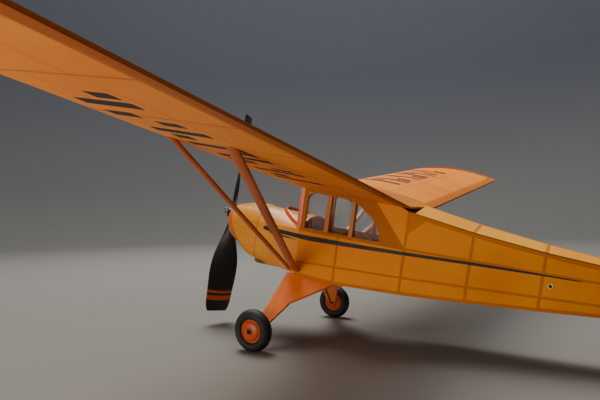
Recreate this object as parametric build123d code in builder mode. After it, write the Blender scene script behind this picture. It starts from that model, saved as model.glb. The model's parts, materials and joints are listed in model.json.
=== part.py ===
"""Rubber-powered balsa and tissue cabin monoplane, 30 inch span, in millimetres.

Every piece is drawn in the datum frame: X forwards along the thrust line, Y to port, Z up, with the
middle of the propeller hub at the origin. The finished aircraft is then tipped back onto its tail
wheel and lifted until it stands on Z = 0.
"""
import os
from math import atan2, cos, pi, radians, sin

from build123d import *

os.makedirs("parts", exist_ok=True)

# ---- driving dimensions ----
SPAN = 762.0            # wing tip to wing tip
CHORD = 114.3
RIB_PITCH = 53.5
INCIDENCE = 2.7         # degrees
DIHEDRAL = 8.0          # degrees
WING_LE_X = -95.9
WING_ROOT_Y = 36.0
WING_ROOT_Z = 41.6      # lower surface at the leading edge of the root rib
SKIN = 0.35             # doped tissue
STICK = 3.2             # square balsa stick
STRINGER = 1.8
GLAZING = 0.4
PROP_PITCH = 264.0
PROP_REST_ANGLE = 4.0
SHAFT_R = 0.8
WIRE_R = 0.8
BORE_CLEARANCE = 0.06
WHEEL_R = 18.3
TYRE_WIDTH = 12.0
TRACK = 156.3
WHEEL_X = -101.4
WHEEL_Z = -87.4
TAIL_WHEEL_R = 7.0
TAIL_WHEEL_X = -431.0
STANCE = 10.0           # nose-up angle on the ground, degrees
CUT = 60.0              # reach of a cutting solid past the piece it cuts

# ---- fuselage stations, datum frame ----
CABIN_X = -107.0        # windscreen pillar
CABIN_W = 30.0          # half width of the cabin
STATIONS = (-147.0, -208.5, -260.0, -311.0, -355.0, -400.0)
TAIL_POST_X = -440.0
TAIL_POST_W = 5.0       # half width at the tail post
TAPER_X = -208.5        # the sides run parallel from the cabin back to here
DECK_SIDE_Z = 1.5       # window sill
BOTTOM_Z = -42.0        # bottom longeron under the cabin
CABIN_TOP_Z = 41.0      # head of the windscreen pillar

NOSE_RAKE = 18.0        # degrees the nose face leans back at its foot
NOSE_CENTRE = (-10.5, -10.6)
NOSE_R = 20.5
NOSE_THICK = 8.0
JOINT_GAP = 0.3
PLUG_R = 11.0
PLUG_Z = -6.5           # the plug sits low so that it clears the top of the cowl
PLUG_LENGTH = 9.0
COWL_SEAM_X = -54.0
SHEET = 1.6             # balsa sheet

PEG_X = -317.0
PEG_Z = -5.5
PEG_R = 1.8
PEG_BORE_R = 1.2

HINGE_X = -442.5        # elevator and rudder hinge lines
TAIL_Z = 15.5           # middle of the tailplane's thickness
TAIL_THICK = 3.0
TAIL_HALF_SPAN = 132.0
TAIL_CHORD = 50.0
ELEVATOR_CHORD = 27.0
FIN_HEIGHT = 72.0
RUDDER_CHORD = 38.0
HINGE_GAP = 1.2
TAILPLANE_LE_X = HINGE_X + HINGE_GAP / 2 + TAIL_CHORD

main_low = WHEEL_X * sin(radians(STANCE)) + WHEEL_Z * cos(radians(STANCE)) - WHEEL_R
LIFT = -main_low
TAIL_WHEEL_Z = (TAIL_WHEEL_R + main_low - TAIL_WHEEL_X * sin(radians(STANCE))) / cos(radians(STANCE))
SHIFT_X = 230.52         # brings the middle of the standing aircraft over the origin
GROUND = Location((SHIFT_X, 0, LIFT), (0, -STANCE, 0))


def keep(piece, name):
    """Stand a finished piece on the ground frame, label it and write it."""
    standing = piece.part.moved(GROUND)
    standing.label = name
    export_step(standing, f"parts/{name}.step")


def half_width(x):
    """Half width of the fuselage over its side coverings, without the covering."""
    if x >= TAPER_X:
        return CABIN_W
    share = (TAPER_X - x) / (TAPER_X - TAIL_POST_X)
    return CABIN_W + (TAIL_POST_W - CABIN_W) * share


def top_z(x):
    """Top longeron behind the cabin, level under the tailplane."""
    share = min(1.0, (TAPER_X - x) / (TAPER_X - TAILPLANE_LE_X))
    return 33.0 - 36.0 * share + 16.3 * share * share


def bottom_z(x):
    """Bottom longeron."""
    if x >= STATIONS[0]:
        return BOTTOM_Z
    share = (STATIONS[0] - x) / (STATIONS[0] - TAIL_POST_X)
    return BOTTOM_Z + 24.0 * share + 10.0 * share * share


def ridge_z(x):
    """Crest of the peaked turtle deck."""
    share = (TAPER_X - x) / (TAPER_X - TAIL_POST_X)
    return top_z(x) + 7.5 * (1 - share) ** 0.5


def plan_band(outer, inner):
    """Plan of the port side between two distances inside the outer face, below everything."""
    with BuildSketch() as band:
        with BuildLine():
            Polyline(
                (CABIN_X, CABIN_W - outer),
                (TAPER_X, CABIN_W - outer),
                (TAIL_POST_X, TAIL_POST_W - outer),
                (TAIL_POST_X, TAIL_POST_W - inner),
                (TAPER_X, CABIN_W - inner),
                (CABIN_X, CABIN_W - inner),
                close=True,
            )
        make_face()
    return band.sketch.moved(Location((0, 0, -CUT)))


def side_points(inset):
    """Side elevation of the fuselage from windscreen pillar to tail post."""
    tops = [(x, top_z(x) - inset) for x in STATIONS[1:]]
    lows = [(x, bottom_z(x) + inset) for x in reversed(STATIONS)]
    return (
        [(CABIN_X - inset, CABIN_TOP_Z - inset), (-200.0, 36.5 - inset)]
        + tops
        + [(TAIL_POST_X + inset, top_z(TAIL_POST_X) - inset)]
        + [(TAIL_POST_X + inset, bottom_z(TAIL_POST_X) + inset)]
        + lows
        + [(CABIN_X - inset, BOTTOM_Z + inset)]
    )


def bar(x, low, high, width):
    """Upright of a side frame, as a rectangle in side elevation."""
    with Locations((x, (low + high) / 2)):
        Rectangle(width, high - low)


# ---- fuselage side frames ----
with BuildPart() as side_frame_left:
    with BuildSketch(Plane.XZ) as elevation:
        with BuildLine():
            Polyline(*side_points(0.0), close=True)
        make_face()
        with BuildLine():
            Polyline(*side_points(STICK), close=True)
        make_face(mode=Mode.SUBTRACT)
        bar(-133.5, -40.0, 39.0, 4.4)
        bar(-158.0, -40.0, 37.5, 3.6)
        bar(-177.0, -39.0, 3.0, 2.4)
        for x in STATIONS[1:]:
            bar(x, bottom_z(x) + 1, top_z(x) - 1, STICK)
        with BuildLine():
            Polyline((CABIN_X, 3.0), (TAPER_X, 3.5), (TAPER_X, -0.5), (CABIN_X, -1.0), close=True)
        make_face()
        with BuildLine():
            Spline((-160.0, 37.5), (-172.4, 27.5), (-181.0, 19.5), (-185.4, 11.5), (-186.5, 2.0))
            Polyline((-186.5, 2.0), (-206.0, 2.0), (-206.0, 33.0), (-198.0, 36.0), (-160.0, 37.5))
        make_face()
        with BuildLine():
            ThreePointArc((-110.0, 28.0), (-112.2, 34.2), (-119.0, 37.6))
            Polyline((-119.0, 37.6), (-109.0, 39.5), (-110.0, 28.0))
        make_face()
    extrude(amount=-CUT)
    extrude(plan_band(SKIN, SKIN + STICK), amount=2 * CUT, mode=Mode.INTERSECT)
keep(side_frame_left, "side_frame_left")

with BuildPart() as side_frame_right:
    mirror(side_frame_left.part, about=Plane.XZ)
keep(side_frame_right, "side_frame_right")

# ---- cross members between the side frames ----
with BuildPart() as cross_members:
    for x in STATIONS + (TAIL_POST_X + 8,):
        inside = half_width(x - STICK) - SKIN - STICK - 0.1
        heights = [bottom_z(x) + STICK / 2 + 0.4]
        if x <= TAPER_X:
            heights.append(top_z(x) - STICK / 2 - 0.4)
        for z in heights:
            with Locations((x, 0, z)):
                Box(STICK, 2 * inside, STICK)
    for x, z in ((-150.0, 35.6), (-196.0, 33.4)):
        with Locations((x, 0, z)):
            Box(STICK, 2 * (CABIN_W - SKIN - STICK - 0.6), STICK)
keep(cross_members, "cross_members")

# ---- turtle deck: ridge stringer and small formers ----
DECK_STATIONS = (-213.5,) + STATIONS[2:5] + (TAILPLANE_LE_X + 0.6,)
with BuildPart() as deck_stringer:
    with BuildSketch(Plane.XZ):
        with BuildLine():
            Polyline(
                *[(x, ridge_z(x) - SKIN) for x in DECK_STATIONS],
                *[(x, ridge_z(x) - 2.6) for x in reversed(DECK_STATIONS)],
                close=True,
            )
        make_face()
    extrude(amount=1.0, both=True)

with BuildPart() as deck_formers:
    for x in DECK_STATIONS[1:4]:
        w = half_width(x + 1) - SKIN - 1.4
        with BuildSketch(Plane.YZ.offset(x)):
            with BuildLine():
                Polyline((-w, top_z(x) + 0.5), (w, top_z(x) + 0.5), (0, ridge_z(x) - 2.8), close=True)
            make_face()
        extrude(amount=0.8, both=True)

with BuildPart() as deck_frame:
    add(deck_stringer.part)
    add(deck_formers.part)
keep(deck_frame, "deck_frame")


with BuildPart() as side_stringers_left:
    for z_front, z_back in ((1.8, 4.2), (-22.3, -6.0)):
        with BuildSketch(Plane.XZ):
            with BuildLine():
                Polyline(
                    (TAPER_X - 2, z_front + 0.9),
                    (TAIL_POST_X + 4, z_back + 0.9),
                    (TAIL_POST_X + 4, z_back - 0.9),
                    (TAPER_X - 2, z_front - 0.9),
                    close=True,
                )
            make_face()
        extrude(amount=-CUT)
    extrude(plan_band(SKIN, SKIN + STRINGER), amount=2 * CUT, mode=Mode.INTERSECT)
    add(side_frame_left.part, mode=Mode.SUBTRACT)

with BuildPart() as side_stringers_right:
    mirror(side_stringers_left.part, about=Plane.XZ)

with BuildPart() as side_stringers:
    add(side_stringers_left.part)
    add(side_stringers_right.part)
keep(side_stringers, "side_stringers")

# ---- tissue coverings of the rear fuselage ----
with BuildPart() as side_covering_left:
    with BuildSketch(Plane.XZ):
        with BuildLine():
            Polyline(*side_points(0.0), close=True)
        make_face()
        with BuildLine():
            Spline((-157.0, 35.4), (-170.0, 27.5), (-179.4, 19.5), (-184.2, 11.5), (-185.6, 3.0))
            Polyline((-185.6, 3.0), (CABIN_X - 4, 2.5), (CABIN_X - 4, 37.6), (-157.0, 35.4))
        make_face(mode=Mode.SUBTRACT)
        with Locations((PEG_X, PEG_Z)):
            Circle(PEG_R, mode=Mode.SUBTRACT)
    extrude(amount=-CUT)
    extrude(plan_band(0.0, SKIN), amount=2 * CUT, mode=Mode.INTERSECT)
keep(side_covering_left, "side_covering_left")

with BuildPart() as side_covering_right:
    mirror(side_covering_left.part, about=Plane.XZ)
keep(side_covering_right, "side_covering_right")

with BuildPart() as belly_covering:
    with BuildSketch(Plane.XZ):
        with BuildLine():
            lows = [(x, bottom_z(x)) for x in STATIONS] + [(TAIL_POST_X, bottom_z(TAIL_POST_X))]
            Polyline(
                (CABIN_X, BOTTOM_Z),
                *lows,
                *[(x, z - SKIN) for x, z in reversed(lows)],
                (CABIN_X, BOTTOM_Z - SKIN),
                close=True,
            )
        make_face()
    extrude(amount=CUT, both=True)
    with BuildSketch(Plane.XY.offset(-CUT)):
        with BuildLine():
            Polyline(
                (CABIN_X, CABIN_W),
                (TAPER_X, CABIN_W),
                (TAIL_POST_X, TAIL_POST_W),
                (TAIL_POST_X, -TAIL_POST_W),
                (TAPER_X, -CABIN_W),
                (CABIN_X, -CABIN_W),
                close=True,
            )
        make_face()
    extrude(amount=2 * CUT, mode=Mode.INTERSECT)
keep(belly_covering, "belly_covering")


def deck_section(x, drop):
    """Peaked section of the turtle deck at one station."""
    w = half_width(x) - drop
    with BuildSketch(Plane.YZ.offset(x)) as section:
        with BuildLine():
            Polyline((-w, top_z(x) + 0.6), (w, top_z(x) + 0.6), (0, ridge_z(x) - drop), close=True)
        make_face()
    return section.sketch


with BuildPart() as deck_covering:
    for front, back in zip(DECK_STATIONS, DECK_STATIONS[1:]):
        loft([deck_section(front, 0.0), deck_section(back, 0.0)])
    for front, back in zip(DECK_STATIONS, DECK_STATIONS[1:]):
        loft([deck_section(front, 2 * SKIN), deck_section(back, 2 * SKIN)], mode=Mode.SUBTRACT)
    add(deck_frame.part, mode=Mode.SUBTRACT)
keep(deck_covering, "deck_covering")

# ---- nose: raked joint plane, cowl and front sheeting ----
BELLY_Z = BOTTOM_Z - SKIN
rake = radians(NOSE_RAKE)
nose_axis = (cos(rake), 0, -sin(rake))


def raked(back):
    """Plane of the raked nose face, moved back along its own normal."""
    x = NOSE_CENTRE[0] - back * cos(rake)
    z = NOSE_CENTRE[1] + back * sin(rake)
    return Plane(origin=(x, 0, z), x_dir=(0, 1, 0), z_dir=nose_axis)


def body_section(plane, width, side, top, low, corner):
    """Cowl section: flat sides, a domed top and rounded lower corners."""
    with BuildSketch(plane) as section:
        with BuildLine():
            ThreePointArc((-width, side), (0, top), (width, side))
            Line((width, side), (width, low + corner))
            RadiusArc((width, low + corner), (width - corner, low), corner)
            Line((width - corner, low), (corner - width, low))
            RadiusArc((corner - width, low), (-width, low + corner), corner)
            Line((-width, low + corner), (-width, side))
        make_face()
    return section.sketch


def cowl_sections(inset):
    """Sections of the front fuselage from the nose joint to the windscreen pillar."""
    rows = (
        (raked(NOSE_THICK + JOINT_GAP), NOSE_R + 0.9, 0.5, NOSE_R + 0.9, -NOSE_R - 0.9, NOSE_R + 0.4),
        (Plane.YZ.offset(-34), 24.4, -2.0, 16.8, -36.0, 17.0),
        (Plane.YZ.offset(COWL_SEAM_X), 26.2, 0.0, 15.8, -39.0, 12.0),
        (Plane.YZ.offset(CABIN_X + 0.2), CABIN_W, DECK_SIDE_Z, 13.5, BELLY_Z, 4.0),
    )
    return [
        body_section(plane, width - inset, side, top - inset, low + inset, corner - inset)
        for plane, width, side, top, low, corner in rows
    ]


outer = cowl_sections(0.0)
inner = cowl_sections(SHEET)
with BuildPart() as cowl_solid:
    loft(outer[:3])
with BuildPart() as front_solid:
    loft(outer[2:])

with BuildPart() as front_cavity:
    loft(inner[2:])

with BuildPart() as nose_cowl:
    loft(outer[:3])
    loft(inner[:3], mode=Mode.SUBTRACT)
    with BuildSketch(raked(NOSE_THICK + JOINT_GAP)):
        Circle(CUT)
    extrude(amount=CUT, mode=Mode.SUBTRACT)
keep(nose_cowl, "nose_cowl")

with BuildPart() as front_sheeting:
    loft(outer[2:])
    loft(inner[2:], mode=Mode.SUBTRACT)
keep(front_sheeting, "front_sheeting")

with BuildPart() as nose_former:
    with BuildSketch(raked(NOSE_THICK + JOINT_GAP)):
        Circle(19.6)
    extrude(amount=-4.0)
    with BuildSketch(Plane.YZ.offset(-CUT)):
        with Locations((0, PLUG_Z)):
            Circle(PLUG_R + 0.08)
    extrude(amount=CUT, mode=Mode.SUBTRACT)
    add(nose_cowl.part, mode=Mode.SUBTRACT)
keep(nose_former, "nose_former")

with BuildPart() as firewall:
    with BuildSketch(Plane.YZ.offset(COWL_SEAM_X - 3.0)):
        with Locations((0, -12.0)):
            RectangleRounded(48.0, 46.0, 10.0)
        with Locations((0, -3.0)):
            Circle(13.0, mode=Mode.SUBTRACT)
    extrude(amount=2.0)
    add(front_cavity.part, mode=Mode.INTERSECT)
keep(firewall, "firewall")

with BuildPart() as chin_scoop:
    with BuildSketch(Plane.XZ):
        with BuildLine():
            Polyline(
                (-46.0, -30.0),
                (-48.5, -42.6),
                (-52.0, -44.4),
                (-62.0, -44.2),
                (-97.0, -42.6),
                (-97.0, -30.0),
                close=True,
            )
        make_face()
    extrude(amount=15.0, both=True)
    fillet(chin_scoop.edges().filter_by(Axis.X, tolerance=12).group_by(Axis.Z)[0], 4.0)
    add(cowl_solid.part, mode=Mode.SUBTRACT)
    add(front_solid.part, mode=Mode.SUBTRACT)
keep(chin_scoop, "chin_scoop")

# ---- cabin: windscreen, its trim, glazing and the pieces inside ----


def screen_section(grow):
    """Foot and head of the windscreen, curved forwards from the pillars."""
    with BuildSketch(Plane((0, 0, -1.0))) as foot:
        with BuildLine():
            Spline((CABIN_X, -29.6 - grow), (-73.0, -15.0 - grow), (-55.5 + grow, 0), (-73.0, 15.0 + grow),
                   (CABIN_X, 29.6 + grow))
            Line((CABIN_X, 29.6 + grow), (CABIN_X, -29.6 - grow))
        make_face()
    with BuildSketch(Plane((0, 0, 39.0))) as head:
        with BuildLine():
            Spline((CABIN_X, -29.6 - grow), (-97.0, -17.0 - grow), (-92.0 + grow, 0), (-97.0, 17.0 + grow),
                   (CABIN_X, 29.6 + grow))
            Line((CABIN_X, 29.6 + grow), (CABIN_X, -29.6 - grow))
        make_face()
    return [foot.sketch, head.sketch]


with BuildPart() as windscreen:
    loft(screen_section(0.0))
    loft(screen_section(-0.5), mode=Mode.SUBTRACT)
    add(front_solid.part, mode=Mode.SUBTRACT)
    with BuildSketch(Plane.XZ):
        with BuildLine():
            Polyline((-50.0, 17.0), (CABIN_X - 4, 3.5), (CABIN_X - 4, -30.0), (-50.0, -30.0), close=True)
        make_face()
    extrude(amount=40.0, both=True, mode=Mode.SUBTRACT)
keep(windscreen, "windscreen")

TRIM_HEIGHT = 3.4        # of the painted strip round the foot of the windscreen
with BuildPart() as windscreen_trim:
    loft(screen_section(0.9))
    loft(screen_section(-0.5), mode=Mode.SUBTRACT)
    loft(cowl_sections(-TRIM_HEIGHT)[2:], mode=Mode.INTERSECT)
    add(front_solid.part, mode=Mode.SUBTRACT)
    add(windscreen.part, mode=Mode.SUBTRACT)

with BuildPart() as windscreen_pillars:
    for side in (-1, 1):
        with Locations((CABIN_X + 2.4, side * 28.8, 21.0)):
            Box(4.4, 2.4, 39.0)
    add(windscreen.part, mode=Mode.SUBTRACT)
    add(windscreen_trim.part, mode=Mode.SUBTRACT)
    add(front_solid.part, mode=Mode.SUBTRACT)
    add(windscreen_trim.part)
keep(windscreen_pillars, "windscreen_frame")

GLAZING_IN = SKIN + STICK + 0.05    # depth of the glazing's outer face inside the body's side
with BuildPart() as window_left:
    with BuildSketch(Plane.XZ):
        with BuildLine():
            Polyline(
                (CABIN_X - 1.5, 3.2),
                (CABIN_X - 1.5, 39.0),
                (-157.0, 37.0),
                (-186.5, 18.0),
                (-188.5, 3.2),
                close=True,
            )
        make_face()
    extrude(amount=-CUT)
    extrude(plan_band(GLAZING_IN, GLAZING_IN + GLAZING), amount=2 * CUT, mode=Mode.INTERSECT)
keep(window_left, "window_left")

with BuildPart() as window_right:
    mirror(window_left.part, about=Plane.XZ)
keep(window_right, "window_right")

PANEL_X = CABIN_X + 0.8
with BuildPart() as instrument_panel:
    with BuildSketch(Plane.YZ.offset(PANEL_X)):
        with Locations((0, -16.0)):
            Rectangle(52.0, 30.0)
        with Locations((0, -2.0)):
            Ellipse(24.0, 13.5)
        with Locations((0, -8.0)):
            Circle(12.0, mode=Mode.SUBTRACT)
    extrude(amount=1.5)
    add(front_cavity.part, mode=Mode.INTERSECT)
keep(instrument_panel, "instrument_panel")

STICK_Y = 14.0           # the control stick stands on the rear face of the instrument panel
with BuildPart() as control_stick:
    with BuildLine():
        FilletPolyline(
            (PANEL_X, STICK_Y, -1.0),
            (PANEL_X - 3.8, STICK_Y, 0.0),
            (PANEL_X - 3.2, STICK_Y, 6.0),
            (PANEL_X - 1.0, STICK_Y, 12.0),
            radius=2,
        )
    with BuildSketch(Plane(origin=(PANEL_X, STICK_Y, -1.0), z_dir=(-3.8, 0, 1.0))):
        Circle(0.8)
    sweep()
    with BuildSketch(Plane.YZ.offset(PANEL_X)):
        Rectangle(2 * CABIN_W, 2 * CABIN_W)
    extrude(amount=5.0, mode=Mode.SUBTRACT)
keep(control_stick, "control_stick")

# ---- rubber motor, its rear peg and the peg's plates ----
peg_half = half_width(PEG_X) + 0.8
with BuildPart() as motor_peg:
    with BuildSketch(Plane.XZ.offset(-peg_half)):
        with Locations((PEG_X, PEG_Z)):
            Circle(PEG_R)
            Circle(PEG_BORE_R, mode=Mode.SUBTRACT)
    extrude(amount=2 * peg_half)
keep(motor_peg, "motor_peg")

with BuildPart() as peg_plates:
    with BuildSketch(Plane.XZ):
        with Locations((PEG_X, PEG_Z)):
            RectangleRounded(16.0, 8.0, 1.5)
            Circle(PEG_R, mode=Mode.SUBTRACT)
    extrude(amount=CUT, both=True)
    port = plan_band(SKIN + STRINGER, SKIN + STRINGER + SHEET)
    extrude(port + mirror(port, about=Plane.XZ), amount=2 * CUT, mode=Mode.INTERSECT)
    for frame in (side_frame_left, side_frame_right, side_stringers):
        add(frame.part, mode=Mode.SUBTRACT)
keep(peg_plates, "peg_plates")

HOOK_X = -35.5          # middle of the propeller shaft's hook
HOOK_R = 5.0
HOOK_Z = -2.0            # the hook hangs below the shaft, to draw out through the nose former
with BuildPart() as rubber_motor:
    front = Vector(HOOK_X - HOOK_R, 0, HOOK_Z)
    back = Vector(PEG_X, 0, PEG_Z)
    run = (back - front).length
    aft = (back - front).normalized()
    front_loop = Plane(origin=front, x_dir=aft, z_dir=(0, 0, 1)).offset(-1.2)
    back_loop = Plane(origin=back, x_dir=aft, z_dir=(0, 1, 0)).offset(-2.5)
    with BuildSketch(front_loop):
        with Locations((8.0, 0)):
            SlotCenterToCenter(16.0, 5.6)
            SlotCenterToCenter(16.0, 2.4, mode=Mode.SUBTRACT)
    extrude(amount=2.4)
    with BuildSketch(back_loop):
        with Locations((-9.0, 0)):
            SlotCenterToCenter(18.0, 2 * (PEG_R + 1.8))
            SlotCenterToCenter(18.0, 2 * (PEG_R + 0.2), mode=Mode.SUBTRACT)
    extrude(amount=5.0)
    with BuildSketch(Plane(origin=front + aft * 15.0, z_dir=aft)):
        Circle(2.8)
    extrude(amount=run - 31.0)
keep(rubber_motor, "rubber_motor")

# ---- frame of the port wing panel: local X aft along the chord, Y up, Z outwards ----
chord_dir = (-cos(radians(INCIDENCE)), 0, -sin(radians(INCIDENCE)))
span_dir = (0, cos(radians(DIHEDRAL)), sin(radians(DIHEDRAL)))
root_plane = Plane(origin=(WING_LE_X, WING_ROOT_Y, WING_ROOT_Z), x_dir=chord_dir, z_dir=span_dir)
plan_plane = Plane(origin=root_plane.origin, x_dir=root_plane.x_dir, z_dir=-root_plane.y_dir)

# ---- lifting struts ----
STRUT_SPAN = 3 * RIB_PITCH / cos(radians(DIHEDRAL))
STRUT_THICK = 3.0


def strut(chord_share, width, foot_x):
    """Flat streamlined strut from the fuselage side up to the flat underside of the wing."""
    head = root_plane.from_local_coords(Vector(chord_share * CHORD, 0.0, STRUT_SPAN))
    foot = Vector(foot_x, CABIN_W + 1.6, -37.5)
    along = head - foot
    across = Vector(1, 0, 0).cross(along).cross(along)
    with BuildPart() as one:
        with BuildSketch(Plane(origin=foot, x_dir=across, z_dir=along)):
            Ellipse(width / 2, STRUT_THICK / 2)
        extrude(amount=along.length + 2 * width)
        with BuildSketch(plan_plane.offset(0.02)):
            Rectangle(6 * CHORD, 6 * CHORD)
        extrude(amount=-CHORD, mode=Mode.SUBTRACT)
    return one


with BuildPart() as strut_front_left:
    add(strut(0.06, 6.0, -101.5).part)
keep(strut_front_left, "strut_front_left")

with BuildPart() as strut_rear_left:
    add(strut(0.5, 9.0, -107.5).part)
    add(strut_front_left.part, mode=Mode.SUBTRACT)
keep(strut_rear_left, "strut_rear_left")

with BuildPart() as strut_front_right:
    mirror(strut_front_left.part, about=Plane.XZ)
keep(strut_front_right, "strut_front_right")

with BuildPart() as strut_rear_right:
    mirror(strut_rear_left.part, about=Plane.XZ)
keep(strut_rear_right, "strut_rear_right")

# ---- undercarriage ----
LEG_TOP = (26.6, -43.0)   # y, z where a leg meets the belly
LEG_FOOT = (70.0, -88.5)
LEG_SHEET = 2.2
leg_lean = atan2(LEG_FOOT[0] - LEG_TOP[0], LEG_TOP[1] - LEG_FOOT[1])
leg_down = (0, sin(leg_lean), -cos(leg_lean))
leg_normal = (0, cos(leg_lean), sin(leg_lean))
leg_plane = Plane(origin=(0, LEG_TOP[0], LEG_TOP[1]), x_dir=(1, 0, 0), z_dir=leg_normal)
LEG_LENGTH = (LEG_TOP[1] - LEG_FOOT[1]) / cos(leg_lean)


with BuildPart() as leg_fairing_left:
    with BuildSketch(leg_plane):
        with BuildLine():
            Polyline(
                (-98.0, -2.0), (-147.0, -2.0), (-147.0, 2.2), (-117.0, 30.5), (-107.0, LEG_LENGTH - 4),
                (-97.0, LEG_LENGTH - 4), close=True,
            )
        make_face()
    extrude(amount=LEG_SHEET)
    with Locations((-122.0, 30.0, BELLY_Z + 9.95)):
        Box(60.0, 60.0, 20.0, mode=Mode.SUBTRACT)
keep(leg_fairing_left, "leg_fairing_left")

with BuildPart() as leg_fairing_right:
    mirror(leg_fairing_left.part, about=Plane.XZ)
keep(leg_fairing_right, "leg_fairing_right")

axle_y = TRACK / 2
with BuildPart() as gear_wires:
    knee_y = LEG_FOOT[0] - 1.9
    hip_y = LEG_TOP[0] - 2.2
    axle_end = axle_y + 10.0
    with BuildLine():
        FilletPolyline(
            (WHEEL_X, 12.0, -44.0),
            (WHEEL_X, hip_y, -44.0),
            (WHEEL_X, knee_y, WHEEL_Z),
            (WHEEL_X, axle_end, WHEEL_Z),
            radius=2.5,
        )
    with BuildSketch(Plane(origin=(WHEEL_X, 12.0, -44.0), z_dir=(0, 1, 0))):
        Circle(WIRE_R)
    sweep()
    for leg in (leg_fairing_left, front_sheeting, chin_scoop):
        add(leg.part, mode=Mode.SUBTRACT)
    mirror(gear_wires.part, about=Plane.XZ)
keep(gear_wires, "gear_wires")


def wheel_plane(out):
    """Upright plane square to the port axle, a distance out from the middle of the wheel."""
    return Plane(origin=(WHEEL_X, axle_y + out, WHEEL_Z), x_dir=(1, 0, 0), z_dir=(0, 1, 0))


RIM_R = 10.2
with BuildPart() as tyre_left:
    with BuildSketch(Plane(origin=(WHEEL_X, axle_y, WHEEL_Z), x_dir=(0, 1, 0), z_dir=(-1, 0, 0))):
        with BuildLine():
            Line((-4.2, RIM_R), (4.2, RIM_R))
            Spline((4.2, RIM_R), (TYRE_WIDTH / 2, 13.8), (3.6, 17.3), (0, WHEEL_R), (-3.6, 17.3),
                   (-TYRE_WIDTH / 2, 13.8), (-4.2, RIM_R))
        make_face()
    revolve(axis=Axis((WHEEL_X, axle_y, WHEEL_Z), (0, 1, 0)))
keep(tyre_left, "tyre_left")

with BuildPart() as tyre_right:
    mirror(tyre_left.part, about=Plane.XZ)
keep(tyre_right, "tyre_right")

with BuildPart() as hub_left:
    with BuildSketch(wheel_plane(-4.2)):
        Circle(RIM_R)
    extrude(amount=8.4)
    with BuildSketch(wheel_plane(4.2)):
        Circle(8.6)
    extrude(amount=0.8)
    with BuildSketch(wheel_plane(-6.5)):
        Circle(2.4)
    extrude(amount=13.0)
    with BuildSketch(wheel_plane(-10)):
        Circle(WIRE_R + BORE_CLEARANCE)
    extrude(amount=20, mode=Mode.SUBTRACT)
keep(hub_left, "hub_left")

with BuildPart() as hub_right:
    mirror(hub_left.part, about=Plane.XZ)
keep(hub_right, "hub_right")

with BuildPart() as wheel_retainers:
    for side in (-1, 1):
        for out in (-7.4, 7.0):
            with Locations(Plane(origin=(WHEEL_X, side * (axle_y + out), WHEEL_Z), z_dir=(0, side, 0))):
                Cylinder(1.7, 0.8)
    add(gear_wires.part, mode=Mode.SUBTRACT)
keep(wheel_retainers, "wheel_retainers")

# ---- wings ----
THICK = 0.105
PANEL = (SPAN / 2 - WING_ROOT_Y) / cos(radians(DIHEDRAL))
TIP_START = PANEL - 62.0


def airfoil(inset):
    """Flat-bottomed section: local X aft along the chord, local Y up."""
    stations = [0.012, 0.05, 0.12, 0.22, 0.35, 0.5, 0.68, 0.86]
    heights = [THICK * 2.1 * (s ** 0.5) * (1 - s) ** 0.85 for s in stations]
    return [(CHORD * s, CHORD * h - inset) for s, h in zip(stations, heights)]


def wing_section(plane, inset):
    """Closed airfoil face on a plane square to the span."""
    nose = (inset, CHORD * 0.014)
    tail_top = (CHORD - inset, 1.6 - inset * 0.6)
    tail_low = (CHORD - inset, inset)
    with BuildSketch(plane) as section:
        with BuildLine():
            Spline(nose, *airfoil(inset), tail_top)
            Line(tail_top, tail_low)
            Line(tail_low, (CHORD * 0.035, inset))
            Spline((CHORD * 0.035, inset), nose, tangents=[(-1, 0), (0, 1)])
        make_face()
    return section.sketch


def planform(inset, start):
    """Plan outline of a wing panel with its rounded tip: local X aft, local Y outwards."""
    tip = PANEL - inset - 1.1
    with BuildSketch(Plane.XY) as outline:
        with BuildLine():
            Line((inset, start), (inset, TIP_START))
            Spline(
                (inset, TIP_START),
                (9.0 + inset, TIP_START + 32),
                (34.0 + inset, TIP_START + 53),
                (72.0, tip - 0.5),
                (94.0, tip - 0.5),
                (CHORD - 8 - inset, tip - 5),
                (CHORD - inset, TIP_START + 36),
                tangents=[(0, 1), (0, -1)],
            )
            Line((CHORD - inset, TIP_START + 36), (CHORD - inset, start))
            Line((CHORD - inset, start), (inset, start))
        make_face()
    return outline.sketch


def cut_to_plan(inset, start=-2.0):
    """Prism over the wing's plan outline, placed on the port wing."""
    return extrude(plan_plane.offset(-CUT) * planform(inset, start), amount=2 * CUT, mode=Mode.PRIVATE)


LE_STRIP = 4.5
TE_STRIP = 9.5
FRONT_SPAR = 0.28 * CHORD
REAR_SPAR = 0.6 * CHORD
outer_prism = extrude(wing_section(root_plane.offset(-0.5), 0.0), amount=PANEL + 2)
inner_prism = extrude(wing_section(root_plane.offset(-1.0), SKIN), amount=PANEL + 4)
RIB_OUTS = [RIB_PITCH * n / cos(radians(DIHEDRAL)) for n in range(7)]

with BuildPart() as wing_covering_left:
    add(outer_prism)
    add(inner_prism, mode=Mode.SUBTRACT)
    add(cut_to_plan(0.0, -5.0), mode=Mode.INTERSECT)
keep(wing_covering_left, "wing_covering_left")


def chord_block(front, back, low, high, out_from, out_to):
    """Block across part of the chord, run along the span."""
    with BuildSketch(root_plane.offset(out_from)) as block:
        with Locations(((front + back) / 2, (low + high) / 2)):
            Rectangle(back - front, high - low)
    return extrude(block.sketch, amount=out_to - out_from, mode=Mode.PRIVATE)


with BuildPart() as leading_edge_left:
    add(inner_prism)
    add(chord_block(-1, LE_STRIP, -5, 20, 0, TIP_START), mode=Mode.INTERSECT)

with BuildPart() as trailing_edge_left:
    add(inner_prism)
    add(chord_block(CHORD - TE_STRIP, CHORD + 1, -5, 20, 0, TIP_START), mode=Mode.INTERSECT)

with BuildPart() as front_spar_left:
    add(chord_block(FRONT_SPAR - 1.6, FRONT_SPAR + 1.6, SKIN, 7.0, 0, TIP_START + 30))

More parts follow.
